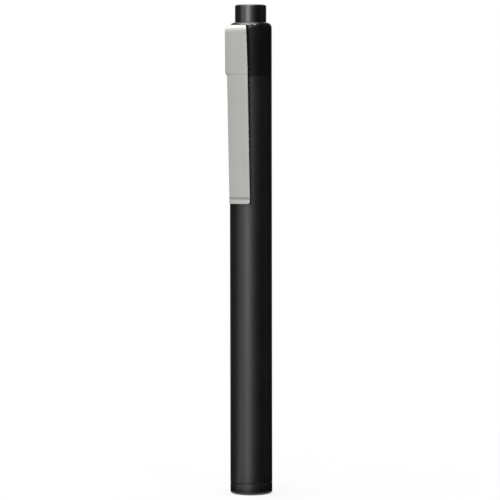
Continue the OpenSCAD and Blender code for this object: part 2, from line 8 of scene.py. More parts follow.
import bmesh
import bpy
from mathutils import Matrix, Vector


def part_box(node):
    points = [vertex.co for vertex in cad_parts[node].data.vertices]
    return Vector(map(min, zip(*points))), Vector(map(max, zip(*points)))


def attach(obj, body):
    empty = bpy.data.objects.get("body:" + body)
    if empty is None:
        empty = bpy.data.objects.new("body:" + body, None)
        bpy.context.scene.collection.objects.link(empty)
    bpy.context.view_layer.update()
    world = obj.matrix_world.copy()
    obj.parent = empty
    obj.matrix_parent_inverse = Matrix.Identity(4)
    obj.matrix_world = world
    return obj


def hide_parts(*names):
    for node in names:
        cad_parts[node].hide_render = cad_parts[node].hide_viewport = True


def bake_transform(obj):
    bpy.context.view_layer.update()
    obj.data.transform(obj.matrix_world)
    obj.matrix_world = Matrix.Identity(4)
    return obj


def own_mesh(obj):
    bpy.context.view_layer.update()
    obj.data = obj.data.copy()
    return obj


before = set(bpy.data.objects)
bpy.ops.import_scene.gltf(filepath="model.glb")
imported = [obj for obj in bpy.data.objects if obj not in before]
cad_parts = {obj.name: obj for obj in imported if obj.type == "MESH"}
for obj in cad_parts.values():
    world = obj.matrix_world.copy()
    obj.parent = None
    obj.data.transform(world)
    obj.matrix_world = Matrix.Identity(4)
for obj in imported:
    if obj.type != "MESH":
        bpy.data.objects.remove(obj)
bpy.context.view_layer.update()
scene = bpy.context.scene
MM = 0.001

# Sizes that the pieces share with the solids
BODY_R = 6.5
BORE_R = 5.5
SOCKET_R = 5.95
SPIGOT_R = 5.9
BEZEL_H = 3.6
BEZEL_SPIGOT_TOP = 9.6
SEAM_Z = 128.6
SPIGOT_Z = 119.6
GUIDE_Z = 138.6
GUIDE_TOP_Z = 140.6
RING_SEAT_Z = 143.6
RING_TOP_Z = 144.4
CAP_TOP_Z = 145.45
SHOULDER_R = 1.6
POCKET_R = 5.0
RING_SEAT_R = 5.8
SWITCH_BORE_R = 4.85
BUTTON_R = 4.85
BUTTON_Z = 142.7
BUTTON_TOP_Z = 150.8
STEM_R = 3.2
STEM_Z = 137.4
LENS_R = 5.0
LENS_Z = 1.3
REFLECTOR_Z = 2.8
REFLECTOR_TOP_Z = 11.4
NECK_W = 4.8


# Node trees

# Sockets of a Mix node that mixes colours
MIX_DARK, MIX_LIGHT, MIX_RESULT = 6, 7, 2


class Value:
    """One socket of a node tree. Arithmetic on it adds Math nodes."""

    def __init__(self, tree, socket):
        self.tree, self.socket = tree, socket

    def __add__(self, other):
        return self.tree.maths("ADD", self, other)

    def __radd__(self, other):
        return self.tree.maths("ADD", other, self)

    def __sub__(self, other):
        return self.tree.maths("SUBTRACT", self, other)

    def __rsub__(self, other):
        return self.tree.maths("SUBTRACT", other, self)

    def __mul__(self, other):
        return self.tree.maths("MULTIPLY", self, other)

    def __rmul__(self, other):
        return self.tree.maths("MULTIPLY", other, self)

    def __truediv__(self, other):
        return self.tree.maths("DIVIDE", self, other)

    def __pow__(self, other):
        return self.tree.maths("POWER", self, other)

    def __abs__(self):
        return self.tree.maths("ABSOLUTE", self)

    def at_least(self, low):
        return self.tree.maths("MAXIMUM", self, low)

    def at_most(self, high):
        return self.tree.maths("MINIMUM", self, high)


class Tree:
    """A node tree with one method that makes any node."""

    def __init__(self, node_tree):
        self.node_tree = node_tree
        node_tree.nodes.clear()

    def node(self, kind, settings=None, sockets=None, out=0):
        made = self.node_tree.nodes.new(kind)
        for key, value in (settings or {}).items():
            if key == "stops":
                ramp = made.color_ramp
                while len(ramp.elements) < len(value):
                    ramp.elements.new(0.5)
                for element, (place, level) in zip(ramp.elements, value):
                    element.position = place
                    element.color = (level, level, level, 1)
            else:
                setattr(made, key, value)
        for key, value in (sockets or {}).items():
            if isinstance(value, Value):
                self.node_tree.links.new(value.socket, made.inputs[key])
            else:
                made.inputs[key].default_value = value
        return Value(self, made.outputs[out]) if made.outputs else None

    def maths(self, operation, *operands):
        return self.node("ShaderNodeMath", {"operation": operation}, dict(enumerate(operands)))

    def step(self, value, low, high):
        """0 below low, 1 above high, with a smooth rise between."""
        return self.node("ShaderNodeMapRange", {"interpolation_type": "SMOOTHSTEP"}, {
            "Value": value, "From Min": low, "From Max": high})


class Finish(Tree):
    """A material: patterns on Object coordinates, and one shader at its end."""

    def __init__(self, name):
        self.material = bpy.data.materials.new(name)
        self.material.use_nodes = True
        super().__init__(self.material.node_tree)

    def noise(self, scale, detail=2.0, rough=0.5, stretch=(1, 1, 1)):
        spot = self.node("ShaderNodeTexCoord", out="Object")
        spot = self.node("ShaderNodeMapping", None, {"Vector": spot, "Scale": stretch})
        return self.node("ShaderNodeTexNoise", None, {
            "Vector": spot, "Scale": scale, "Detail": detail, "Roughness": rough})

    def ramp(self, factor, *stops):
        return self.node("ShaderNodeValToRGB", {"stops": stops}, {"Fac": factor})

    def tint(self, factor, dark, light):
        """A colour between two, given as colours or as the results of other tints."""
        ends = [end if isinstance(end, Value) else (*end, 1) for end in (dark, light)]
        return self.node("ShaderNodeMix", {"data_type": "RGBA"}, {
            "Factor": factor, MIX_DARK: ends[0], MIX_LIGHT: ends[1]}, out=MIX_RESULT)

    def wear(self, low=0.5, high=1.1):
        """Patches along the rounded edges, which the meshes mark with the attribute edge."""
        edge = self.node("ShaderNodeAttribute", {"attribute_name": "edge"}, out="Fac")
        return self.step(edge + self.noise(900, 3, 0.65) * 0.9 - 0.45, low, high)

    def bump(self, height, strength, distance):
        return self.node("ShaderNodeBump", None, {
            "Height": height, "Strength": strength, "Distance": distance * MM})

    def surface(self, sockets):
        shader = self.node("ShaderNodeBsdfPrincipled", None, sockets)
        self.node("ShaderNodeOutputMaterial", None, {"Surface": shader})
        return self.material


def grey(level):
    return (level, level, level)


# Finishes

OXIDE_IOR = 1.77
POLISH_RUN = 1.2
CAP_POLISH_H = 2.4
NO_POLISH_Z = 1000.0


def anodised(name, dark, light, rough, grain_bump, gloss, polish_z=NO_POLISH_Z):
    """Black anodised aluminium: blasted grain, drawing lines, cloudy sheen and rubbed edges.

    It is polished above the height polish_z.
    """
    f = Finish(name)
    spot = f.node("ShaderNodeTexCoord", out="Object")
    height = f.node("ShaderNodeSeparateXYZ", None, {"Vector": spot}, out="Z")
    polish = f.step(height, polish_z * MM, (polish_z + POLISH_RUN) * MM)
    grain = f.noise(7000, 3, 0.6)
    cloud = f.noise(140, 2, 0.5)
    drawn = f.noise(1, 2, 0.5, (2600, 2600, 14))
    wear = f.wear()
    tone = f.ramp(grain * 0.5 + cloud * 0.3 + drawn * 0.2, (0.3, 0.0), (0.7, 1.0))
    return f.surface({
        "Base Color": f.tint(wear * 0.6, f.tint(tone, grey(dark), grey(light)), grey(0.12)),
        "Metallic": wear * 0.5,
        "Roughness": rough - 0.08 + cloud * 0.1 + grain * 0.06 - wear * 0.12,
        "IOR": OXIDE_IOR,
        "Specular IOR Level": gloss,
        "Coat Weight": polish * (0.9 - grain * 0.2),
        "Coat Roughness": 0.16,
        "Coat IOR": 2.0,
        "Normal": f.bump(grain + drawn * 0.25, grain_bump, 0.02)})


def gloss_black(name, level, rough):
    """Moulded gloss plastic with faint orange peel, fine rub marks and paler edges."""
    f = Finish(name)
    peel = f.noise(900, 2, 0.5)
    rub = f.noise(1, 3, 0.6, (3000, 3000, 300))
    wear = f.wear()
    return f.surface({
        "Base Color": f.tint(wear * 0.5, f.tint(peel, grey(level * 0.7), grey(level * 1.3)), grey(0.05)),
        "Roughness": rough - 0.05 + peel * 0.04 + rub * 0.06 + wear * 0.1,
        "IOR": OXIDE_IOR,
        "Specular IOR Level": 0.95,
        "Coat Weight": 0.25 + rub * 0.1 - wear * 0.2,
        "Coat Roughness": 0.12,
        "Normal": f.bump(peel + rub * 0.2, 0.12, 0.02)})


def brushed_steel(name, dark, light, bright):
    """Satin spring steel, brushed along the strip, with its edges polished by use and painted shade darkening the
    fold above the toe.
    """
    f = Finish(name)
    brushed = f.noise(1, 4, 0.65, (5200, 900, 22))
    coarse = f.noise(1, 2, 0.5, (1500, 300, 8))
    cloud = f.noise(110, 2, 0.5)
    wear = f.wear()
    # Painted shade: the base colour darkens toward grey in the fold above the clip's toe, where the crease falls
    # into shade.
    fold = f.node("ShaderNodeAttribute", {"attribute_name": "fold"}, out="Fac")
    tone = f.ramp(brushed * 0.5 + coarse * 0.3 + cloud * 0.2, (0.3, 0.0), (0.7, 1.0))
    polished = f.tint(wear * 0.4, f.tint(tone, dark, light), bright)
    return f.surface({
        "Base Color": f.tint(fold * (0.3 + brushed * 0.2), polished, grey(0.15)),
        "Metallic": 1.0,
        "Roughness": 0.27 + brushed * 0.1 + cloud * 0.06 - wear * 0.1,
        "Normal": f.bump(brushed + coarse * 0.5, 0.1, 0.012)})


def turned_metal(name, dark, light, rough):
    """Lathe-turned metal with fine rings round the axis."""
    f = Finish(name)
    rings = f.noise(1, 2, 0.5, (90, 90, 6000))
    stain = f.noise(320, 3, 0.6)
    return f.surface({
        "Base Color": f.tint(rings * 0.4 + stain * 0.6, dark, light),
        "Metallic": 1.0,
        "Roughness": rough - 0.08 + stain * 0.12 + rings * 0.06,
        "Normal": f.bump(rings, 0.15, 0.01)})


def moulded(name, dark, light, rough):
    """Moulded plastic, resin or rubber with a fine spark texture and flow marks."""
    f = Finish(name)
    spark = f.noise(5200, 2, 0.6)
    flow = f.noise(240, 2, 0.5)
    return f.surface({
        "Base Color": f.tint(flow * 0.6 + spark * 0.4, dark, light),
        "Roughness": rough - 0.09 + flow * 0.1 + spark * 0.08,
        "Normal": f.bump(spark, 0.25, 0.015)})


def printed_board(name, mask, trace):
    """Solder mask over traces, seen as raised lines."""
    f = Finish(name)
    spot = f.node("ShaderNodeTexCoord", out="Object")
    lines = f.node("ShaderNodeTexBrick", {"offset": 0.5}, {
        "Vector": spot, "Scale": 700.0, "Mortar Size": 0.08, "Mortar Smooth": 0.2}, out="Fac")
    weave = f.noise(2600, 2, 0.5)
    return f.surface({
        "Base Color": f.tint(lines * 0.8 + weave * 0.2, mask, trace),
        "Roughness": 0.35 + weave * 0.15,
        "Normal": f.bump(lines, 0.3, 0.03)})


def mirror_coat(name):
    """Metallised reflector with a faint orange peel."""
    f = Finish(name)
    peel = f.noise(700, 2, 0.5)
    return f.surface({
        "Base Color": f.tint(peel, (0.82, 0.83, 0.85), (0.9, 0.9, 0.91)),
        "Metallic": 1.0,
        "Roughness": 0.05 + peel * 0.05,
        "Normal": f.bump(peel, 0.04, 0.03)})


def clear_glass(name):
    """Clear lens with faint wipe marks."""
    f = Finish(name)
    wipe = f.noise(1, 3, 0.6, (420, 90, 420))
    return f.surface({
        "Base Color": f.tint(wipe, (0.93, 0.96, 0.965), (0.98, 0.99, 0.99)),
        "Roughness": 0.01 + wipe * 0.03,
        "IOR": 1.5,
        "Transmission Weight": 1.0})


def phosphor(name):
    """Clear dome over a yellow phosphor."""
    f = Finish(name)
    grains = f.noise(4200, 3, 0.6)
    return f.surface({
        "Base Color": f.tint(grains, (0.86, 0.68, 0.16), (0.95, 0.84, 0.36)),
        "Roughness": 0.2 + grains * 0.12,
        "Coat Weight": 0.6 + grains * 0.2,
        "Normal": f.bump(grains, 0.1, 0.01)})


barrel_black = anodised("barrel_black", dark=0.002, light=0.006, rough=0.39, grain_bump=0.5, gloss=0.57)
bezel_black = anodised("bezel_black", dark=0.002, light=0.005, rough=0.39, grain_bump=0.3, gloss=0.57)
cap_black = anodised("cap_black", dark=0.002, light=0.005, rough=0.38, grain_bump=0.12, gloss=0.25,
                     polish_z=CAP_TOP_Z - CAP_POLISH_H)
button_black = gloss_black("button_black", level=0.004, rough=0.25)
collar_black = gloss_black("collar_black", level=0.012, rough=0.24)
clip_steel = brushed_steel("clip_steel", dark=(0.75, 0.745, 0.72), light=(0.87, 0.865, 0.833),
                           bright=(0.9, 0.896, 0.87))
spring_steel = turned_metal("spring_steel", (0.4, 0.4, 0.41), (0.58, 0.58, 0.58), 0.3)
contact_brass = turned_metal("contact_brass", (0.5, 0.36, 0.13), (0.7, 0.55, 0.25), 0.3)
cell_nickel = turned_metal("cell_nickel", (0.52, 0.53, 0.54), (0.68, 0.68, 0.68), 0.24)
seal_rubber = moulded("seal_rubber", grey(0.012), grey(0.03), 0.62)
component_dark = moulded("component_dark", grey(0.025), grey(0.055), 0.5)
switch_ivory = moulded("switch_ivory", (0.7, 0.68, 0.6), (0.82, 0.8, 0.72), 0.45)
led_white = moulded("led_white", (0.82, 0.81, 0.78), (0.92, 0.91, 0.88), 0.35)
lead_red = moulded("lead_red", (0.42, 0.04, 0.03), (0.56, 0.08, 0.05), 0.5)
cell_sleeve = moulded("cell_sleeve", (0.05, 0.11, 0.18), (0.09, 0.17, 0.26), 0.3)
board_green = printed_board("board_green", (0.02, 0.16, 0.07), (0.06, 0.3, 0.14))
led_board_white = printed_board("led_board_white", (0.8, 0.8, 0.78), (0.9, 0.9, 0.88))
reflector_bright = mirror_coat("reflector_bright")
lens_clear = clear_glass("lens_clear")
led_dome_yellow = phosphor("led_dome_yellow")

NODE_FINISH = {
    "bezel_seal": seal_rubber, "lens_seal": seal_rubber, "button_seal": seal_rubber,
    "led_dome": led_dome_yellow, "led_board": led_board_white, "led_leads": lead_red,
    "driver_board": board_green, "driver_parts": component_dark,
    "heat_sink": contact_brass, "positive_contact": contact_brass, "side_terminal": contact_brass,
    "centre_terminal": contact_brass, "contact_disc": contact_brass, "holding_ring": contact_brass,
    "contact_insulator": switch_ivory, "switch_case": switch_ivory, "switch_base": switch_ivory,
    "spring_seat": switch_ivory, "switch_plunger": switch_ivory, "button_retainer": spring_steel,
}
for cell in ("lower_cell", "upper_cell"):
    NODE_FINISH.update({f"{cell}_cap": cell_nickel, f"{cell}_can": cell_nickel,
                        f"{cell}_seal": component_dark, f"{cell}_jacket": cell_sleeve})
for node_name, node_finish in NODE_FINISH.items():
    node_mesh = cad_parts[node_name].data
    node_mesh.materials.clear()
    node_mesh.materials.append(node_finish)


# Meshes

def piece(name, mesh, finish, smooth_angle=32):
    """An object at the origin, smooth but for its sharp edges."""
    mesh.name = name
    mesh.shade_smooth()
    mesh.set_sharp_from_angle(angle=math.radians(smooth_angle))
    mesh.materials.clear()
    mesh.materials.append(finish)
    made = bpy.data.objects.new(name, mesh)
    scene.collection.objects.link(made)
    return made


STRAIGHT = 1e-4
ARC_SIDE_SHARE = 0.49
AXIS_R = 1e-6


def rounded(corners, steps=5):
    """A closed outline in which each corner (x, y, radius) is an arc.

    Gives (x, y, edge), edge being 1 in the middle of an arc.
    """
    points = []
    for i, (x, y, radius) in enumerate(corners):
        here = Vector((x, y))
        back = Vector(corners[i - 1][:2]) - here
        ahead = Vector(corners[(i + 1) % len(corners)][:2]) - here
        half = back.angle(ahead) / 2
        if radius <= 0 or abs(half - math.pi / 2) < STRAIGHT:
            points.append((x, y, 0))
            continue
        run = min(radius / math.tan(half), back.length * ARC_SIDE_SHARE, ahead.length * ARC_SIDE_SHARE)
        radius = run * math.tan(half)
        middle = here + (back.normalized() + ahead.normalized()).normalized() * (radius / math.sin(half))
        first = here + back.normalized() * run - middle
        last = here + ahead.normalized() * run - middle
        for k in range(steps + 1):
            turn = -first.angle_signed(last) * k / steps
            points.append((middle.x + first.x * math.cos(turn) - first.y * math.sin(turn),
                           middle.y + first.x * math.sin(turn) + first.y * math.cos(turn),
                           math.sin(math.pi * k / steps)))
    return points


def to_mesh(bm):
    mesh = bpy.data.meshes.new("made")
    bmesh.ops.recalc_face_normals(bm, faces=bm.faces)
    bm.to_mesh(mesh)
    bm.free()
    return mesh


def turned_mesh(outline, parts=192):
    """Turns a closed outline of (radius, height, edge) round Z. Points on the axis become poles."""
    bm = bmesh.new()
    edge_layer = bm.verts.layers.float.new("edge")
    rings = []
    for r, z, edge in outline:
        ring = [bm.verts.new((r * MM * math.cos(a), r * MM * math.sin(a), z * MM))
                for a in (math.tau * k / parts for k in range(parts if r > AXIS_R else 1))]
        for corner in ring:
            corner[edge_layer] = edge
        rings.append(ring)
    for low, high in zip(rings, rings[1:] + rings[:1]):
        if len(low) == 1 and len(high) == 1:
            continue
        for k in range(parts):
            n = k + 1
            corners = [low[k % len(low)], low[n % len(low)], high[n % len(high)], high[k % len(high)]]
            bm.faces.new(list(dict.fromkeys(corners)))
    return to_mesh(bm)


def turned(name, corners, finish):
    return piece(name, turned_mesh(rounded(corners)), finish)


def block(low, high):
    """A box between two corners in millimetres, to carve with."""
    bm = bmesh.new()
    bmesh.ops.create_cube(bm, size=1)
    for v in bm.verts:
        v.co = Vector([(a + (b - a) * (c + 0.5)) * MM for a, b, c in zip(low, high, v.co)])
    return to_mesh(bm)


def carved(mesh, tool, operation):
    """The mesh after one exact boolean with a tool mesh."""
    work = bpy.data.objects.new("work", mesh)
    other = bpy.data.objects.new("tool", tool)
    for o in (work, other):
        scene.collection.objects.link(o)
    cut = work.modifiers.new("cut", "BOOLEAN")
    cut.operation, cut.object, cut.solver = operation, other, "EXACT"
    result = bpy.data.meshes.new_from_object(work.evaluated_get(bpy.context.evaluated_depsgraph_get()))
    for o in (work, other):
        bpy.data.objects.remove(o)
    return result


def place(made, body, slot, *nodes):
    """Puts a finished piece on its body and hides the solids that it stands for. The slot argument is not used."""
    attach(made, body)
    if nodes:
        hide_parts(*nodes)


# Geometry Nodes: wound wire and the formed strip

class Pattern(Tree):
    """A Geometry Nodes tree with named inputs. run() gives its result as a plain mesh."""

    def __init__(self, name, sizes, counts):
        super().__init__(bpy.data.node_groups.new(name, "GeometryNodeTree"))
        interface = self.node_tree.interface
        interface.new_socket("Geometry", in_out="OUTPUT", socket_type="NodeSocketGeometry")
        kinds = {**dict.fromkeys(sizes, "NodeSocketFloat"), **dict.fromkeys(counts, "NodeSocketInt"),
                 "Finish": "NodeSocketMaterial"}
        for label, kind in kinds.items():
            interface.new_socket(label, in_out="INPUT", socket_type=kind)
        self.inputs = self.node_tree.nodes.new("NodeGroupInput")

    def given(self, label):
        return Value(self, self.inputs.outputs[label])

    def close(self, geometry):
        real = self.node("GeometryNodeRealizeInstances", None, {"Geometry": geometry})
        done = self.node("GeometryNodeSetMaterial", None, {
            "Geometry": real, "Material": self.given("Finish")})
        self.node("NodeGroupOutput", None, {"Geometry": done})
        return self

    def run(self, finish, values, *further):
        """The mesh made with these values, and then by further modifiers, given as (kind, settings)."""
        host = bpy.data.objects.new("host", bpy.data.meshes.new("host"))
        modifier = host.modifiers.new("pattern", "NODES")
        modifier.node_group = self.node_tree
        ids = {s.name: s.identifier for s in self.node_tree.interface.items_tree if s.in_out == "INPUT"}
        for label, value in {**values, "Finish": finish}.items():
            modifier[ids[label]] = value
        for kind, settings in further:
            extra = host.modifiers.new(kind.lower(), kind)
            for key, value in settings.items():
                setattr(extra, key, value)
        scene.collection.objects.link(host)
        mesh = bpy.data.meshes.new_from_object(host.evaluated_get(bpy.context.evaluated_depsgraph_get()))
        host.modifiers.clear()
        bpy.data.objects.remove(host)
        return mesh


def wound_wire_pattern():
    """A wire of round or square section wound along a helix that may taper."""
    p = Pattern("wound_wire", ["Turns", "Low radius", "High radius", "Height", "Foot", "Wire radius"],
                ["Sides", "Steps"])
    line = p.node("GeometryNodeCurveSpiral", None, {
        "Resolution": p.given("Steps"), "Rotations": p.given("Turns"), "Start Radius": p.given("Low radius"),
        "End Radius": p.given("High radius"), "Height": p.given("Height")})
    lift = p.node("ShaderNodeCombineXYZ", None, {"Z": p.given("Foot")})
    lifted = p.node("GeometryNodeTransform", None, {"Geometry": line, "Translation": lift})
    upright = p.node("GeometryNodeSetCurveNormal", {"mode": "Z_UP"}, {"Curve": lifted})
    section = p.node("GeometryNodeCurvePrimitiveCircle", None, {
        "Resolution": p.given("Sides"), "Radius": p.given("Wire radius")})
    return p.close(p.node("GeometryNodeCurveToMesh", None, {
        "Curve": upright, "Profile Curve": section, "Fill Caps": True}))


wound_wire = wound_wire_pattern()
STEPS_A_TURN = 48


def coil(name, finish, turns, low_r, high_r, z_low, z_high, wire_r, sides):
    """A piece of wire wound from z_low to z_high."""
    mesh = wound_wire.run(finish, {
        "Turns": turns, "Low radius": low_r * MM, "High radius": high_r * MM, "Height": (z_high - z_low) * MM,
        "Foot": z_low * MM, "Wire radius": wire_r * MM, "Sides": sides, "Steps": STEPS_A_TURN})
    return piece(name, mesh, finish, smooth_angle=40)


# Shares of the strip's half width in the grid: the flat face, the edge's start, and how rim columns crowd outwards
FLAT_SHARE = 0.6
EDGE_SHARE = 0.9
EDGE_RISE = 10.0
RIM_CROWDING = 2.2


def formed_strip_pattern():
    """The clip's outer face by rule: neck, bend, panel, joggle, tapering arm with rims, and flared toe, with a band
    above the toe marked for painted shade in the fold.
    """
    p = Pattern("formed_strip", [
        "Neck width", "Top width", "Panel width", "Arm width", "Neck length", "Bend depth", "Bend height",
        "Crown", "Length", "Panel length", "Joggle length", "Step", "Fold length", "Lip length", "Lip out",
        "Corner length", "Corner depth", "Rim width", "Rim drop", "Rim run", "Top radius", "Toe radius",
        "Panel height"], ["Rows", "Columns"])
    g = p.given
    grid = p.node("GeometryNodeMeshGrid", None, {
        "Size X": 2.0, "Size Y": 1.0, "Vertices X": g("Columns"), "Vertices Y": g("Rows")})
    spot = p.node("GeometryNodeInputPosition")
    across = p.node("ShaderNodeSeparateXYZ", None, {"Vector": spot}, out="X")
    along = p.node("ShaderNodeSeparateXYZ", None, {"Vector": spot}, out="Y") + 0.5

    bend_l = (g("Bend depth") + g("Bend height")) * (math.pi / 4)
    s = along * (g("Neck length") + bend_l + g("Length")) - g("Neck length") - bend_l
    arm = s.at_least(0.0)
    neck = (s + bend_l).at_most(0.0)
    turn = ((s + bend_l) / bend_l).at_least(0.0).at_most(1.0) * (math.pi / 2)
    rise = p.maths("SINE", turn)

    toe = g("Length") - g("Lip length")
    joggle = p.step(s, g("Panel length") - g("Joggle length") / 2, g("Panel length") + g("Joggle length") / 2)
    taper = (g("Top radius") - g("Step") - g("Toe radius")) * arm.at_most(toe) / toe
    flare = (s - toe).at_least(0.0) / g("Lip length") * g("Lip out")
    fold_l = g("Fold length")
    # The band just above the toe, where the lip bends out, is marked for the painted shade that the clip's finish
    # puts in this fold.
    fold = p.step(s, toe - fold_l, toe - fold_l / 2) * (1 - p.step(s, toe, toe + fold_l / 4))
    inward = taper + joggle * g("Step") - flare

    from_end = 1 - ((g("Length") - s) / g("Corner length")).at_least(0.0).at_most(1.0)
    corner = (1 - p.maths("SQRT", 1 - from_end * from_end)) * g("Corner depth")
    down_panel = (arm / g("Panel length")).at_most(1.0)
    panel_width = g("Top width") + (g("Panel width") - g("Top width")) * down_panel
    width = g("Neck width") + (panel_width - g("Neck width")) * rise
    half = (width + (g("Arm width") - width) * joggle) / 2 - corner

    flat = (abs(across) / FLAT_SHARE).at_most(1.0)
    rim = 1 - (1 - ((abs(across) - FLAT_SHARE) / (1 - FLAT_SHARE)).at_least(0.0)) ** RIM_CROWDING
    x = p.maths("SIGN", across) * (flat * (half - g("Rim width")) + rim * g("Rim width"))
    rim_in = rim * g("Rim drop") * p.step(s, 0.0, g("Rim run"))
    y = inward + rim_in - neck - g("Top radius") + g("Bend depth") * (1 - rise)
    z = (g("Panel height") + g("Bend height") * p.maths("COSINE", turn)
         + g("Crown") * p.maths("SINE", turn * 2) - arm)

    marked = grid
    edge = ((abs(across) - EDGE_SHARE) * EDGE_RISE).at_least(0.0)
    for name, value in (("edge", edge), ("fold", fold)):
        marked = p.node("GeometryNodeStoreNamedAttribute", {"data_type": "FLOAT", "domain": "POINT"}, {
            "Geometry": marked, "Name": name, "Value": value})
    return p.close(p.node("GeometryNodeSetPosition", None, {
        "Geometry": marked, "Position": p.node("ShaderNodeCombineXYZ", None, {"X": x, "Y": y, "Z": z})}))


# Barrel and head

SOCKET_ROOM = 0.4
CAP_SOCKET_Z = SPIGOT_Z - SOCKET_ROOM
BEZEL_SOCKET_Z = BEZEL_SPIGOT_TOP + SOCKET_ROOM
barrel_tube = turned("barrel_tube", [
    (BODY_R, BEZEL_H, 0.1), (BODY_R, SEAM_Z, 0.07), (SOCKET_R, SEAM_Z, 0.12), (SOCKET_R, CAP_SOCKET_Z, 0),
    (BORE_R, CAP_SOCKET_Z, 0.1), (BORE_R, BEZEL_SOCKET_Z, 0.1), (SOCKET_R, BEZEL_SOCKET_Z, 0),
    (SOCKET_R, BEZEL_H, 0.12)], barrel_black)
place(barrel_tube, "light_body", "barrel_black", "barrel")

OPENING_R = 4.5
LENS_BORE_R = 5.05
BEZEL_BEVEL = 0.38
BEZEL_BEVEL_H = 0.24
LENS_SEAT_Z = 1.0
MOUTH_BEVEL = 0.4
SEAL_GROOVE_R = 5.35
SEAL_GROOVE_LOW = 4.22
SEAL_GROOVE_HIGH = 4.78
bezel_turned = turned("bezel_turned", [
    (BODY_R, 0, 0.7), (BODY_R, BEZEL_H - BEZEL_BEVEL_H, 0.1), (BODY_R - BEZEL_BEVEL, BEZEL_H, 0),
    (SPIGOT_R, BEZEL_H, 0), (SPIGOT_R, SEAL_GROOVE_LOW, 0.04), (SEAL_GROOVE_R, SEAL_GROOVE_LOW, 0),
    (SEAL_GROOVE_R, SEAL_GROOVE_HIGH, 0), (SPIGOT_R, SEAL_GROOVE_HIGH, 0.04),
    (SPIGOT_R, BEZEL_SPIGOT_TOP, 0.2), (LENS_BORE_R, BEZEL_SPIGOT_TOP, 0.1), (LENS_BORE_R, LENS_SEAT_Z, 0),
    (OPENING_R, LENS_SEAT_Z, 0.08), (OPENING_R, MOUTH_BEVEL, 0.08), (OPENING_R + MOUTH_BEVEL, 0, 0.08)],
    bezel_black)
place(bezel_turned, "light_body", "bezel_black", "bezel_ring")

lens_glass = turned("lens_glass", [
    (0, LENS_Z, 0), (LENS_R, LENS_Z, 0.2), (LENS_R, REFLECTOR_Z, 0.2), (0, REFLECTOR_Z, 0)], lens_clear)
place(lens_glass, "light_body", "lens_clear", "lens")

LED_HALF = 1.5
LED_ROOM = 0.15
LED_HOLE_R = LED_HALF * math.sqrt(2) + LED_ROOM
MOUTH_R = 4.4
CUP_WALL = 0.5
CUP_STEPS = 28
CUP_RIM_H = 0.8
CUP_GAP = 0.02
CUP_H = REFLECTOR_TOP_Z - REFLECTOR_Z


def cup_r(h):
    """Radius of the reflector's parabola at height h above its rim."""
    return math.sqrt(LED_HOLE_R ** 2 + (MOUTH_R ** 2 - LED_HOLE_R ** 2) * (1 - h / CUP_H))


cup_outline = [(cup_r(h), REFLECTOR_Z + h, 0) for h in
               (CUP_H * k / CUP_STEPS for k in range(1, CUP_STEPS + 1))]
cup_outline += [(cup_r(h) + CUP_WALL, REFLECTOR_Z + h, 0) for h in
                (CUP_H - (CUP_H - CUP_RIM_H) * k / CUP_STEPS for k in range(CUP_STEPS + 1))]
cup_outline += [(r, REFLECTOR_Z + h, 0) for r, h in
                ((LENS_R, CUP_RIM_H), (LENS_R, CUP_GAP), (MOUTH_R, CUP_GAP))]
reflector_cup = piece("reflector_cup", turned_mesh(cup_outline), reflector_bright)
place(reflector_cup, "light_body", "reflector_bright", "reflector")


def stacked(rows):
    """A block of rounded squares, each row giving (half width, corner radius, height in metres)."""
    bm = bmesh.new()
    rings = []
    for half, radius, z in rows:
        square = [(-half, -half, radius), (half, -half, radius), (half, half, radius), (-half, half, radius)]
        rings.append([bm.verts.new((x * MM, y * MM, z)) for x, y, _ in rounded(square)])
    for low, high in zip(rings, rings[1:]):
        for k in range(len(low)):
            n = (k + 1) % len(low)
            bm.faces.new((low[k], low[n], high[n], high[k]))
    bm.faces.new(rings[0])
    bm.faces.new(rings[-1])
    return to_mesh(bm)


package_low, package_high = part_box("led_package")
package_h = package_high[2] - package_low[2]
led_body = piece("led_body", stacked([
    (half, radius, package_low[2] + package_h * share) for half, radius, share in (
        (1.26, 0.3, 0.0), (1.34, 0.35, 0.1), (1.34, 0.35, 0.45), (1.44, 0.2, 0.45), (LED_HALF, 0.2, 0.55),
        (LED_HALF, 0.2, 0.92), (1.44, 0.2, 1.0))]), led_white)
place(led_body, "light_body", "led_white", "led_package")


# Tail cap, collar and seals

def shoulder(radius):
    """Height of the rounded shoulder at a radius."""
    out = max(0.0, radius - (BODY_R - SHOULDER_R))
    return CAP_TOP_Z - SHOULDER_R + math.sqrt(SHOULDER_R ** 2 - out ** 2)


SEAL_Z = 127.6
SEAL_T = 0.6
GROOVE_LOW = SEAL_Z - 0.34
GROOVE_HIGH = SEAL_Z + 0.34
GROOVE_R = SPIGOT_R - 0.65
THREAD_CORE_R = 5.6
CORE_TOP_Z = 126.95
LAND_Z = 127.05
GUIDE_R = STEM_R + 0.05
SLOT_HALF = NECK_W / 2 + 0.1
SHOULDER_STEPS = 24
cap_corners = [
    (SWITCH_BORE_R, SPIGOT_Z, 0.1), (THREAD_CORE_R, SPIGOT_Z, 0.25), (THREAD_CORE_R, CORE_TOP_Z, 0),
    (SPIGOT_R, LAND_Z, 0.05), (SPIGOT_R, GROOVE_LOW, 0), (GROOVE_R, GROOVE_LOW, 0), (GROOVE_R, GROOVE_HIGH, 0),
    (SPIGOT_R, GROOVE_HIGH, 0), (SPIGOT_R, SEAM_Z, 0), (BODY_R, SEAM_Z, 0.07)]
shoulder_turn = math.acos((RING_SEAT_R - BODY_R + SHOULDER_R) / SHOULDER_R)
cap_corners += [(BODY_R - SHOULDER_R * (1 - math.cos(a)), CAP_TOP_Z - SHOULDER_R * (1 - math.sin(a)), 0)
                for a in (shoulder_turn * k / SHOULDER_STEPS for k in range(SHOULDER_STEPS + 1))]
cap_corners += [
    (RING_SEAT_R, RING_SEAT_Z, 0), (POCKET_R, RING_SEAT_Z, 0.05), (POCKET_R, GUIDE_TOP_Z, 0.1),
    (GUIDE_R, GUIDE_TOP_Z, 0.05), (GUIDE_R, GUIDE_Z, 0.05), (SWITCH_BORE_R, GUIDE_Z, 0.1)]
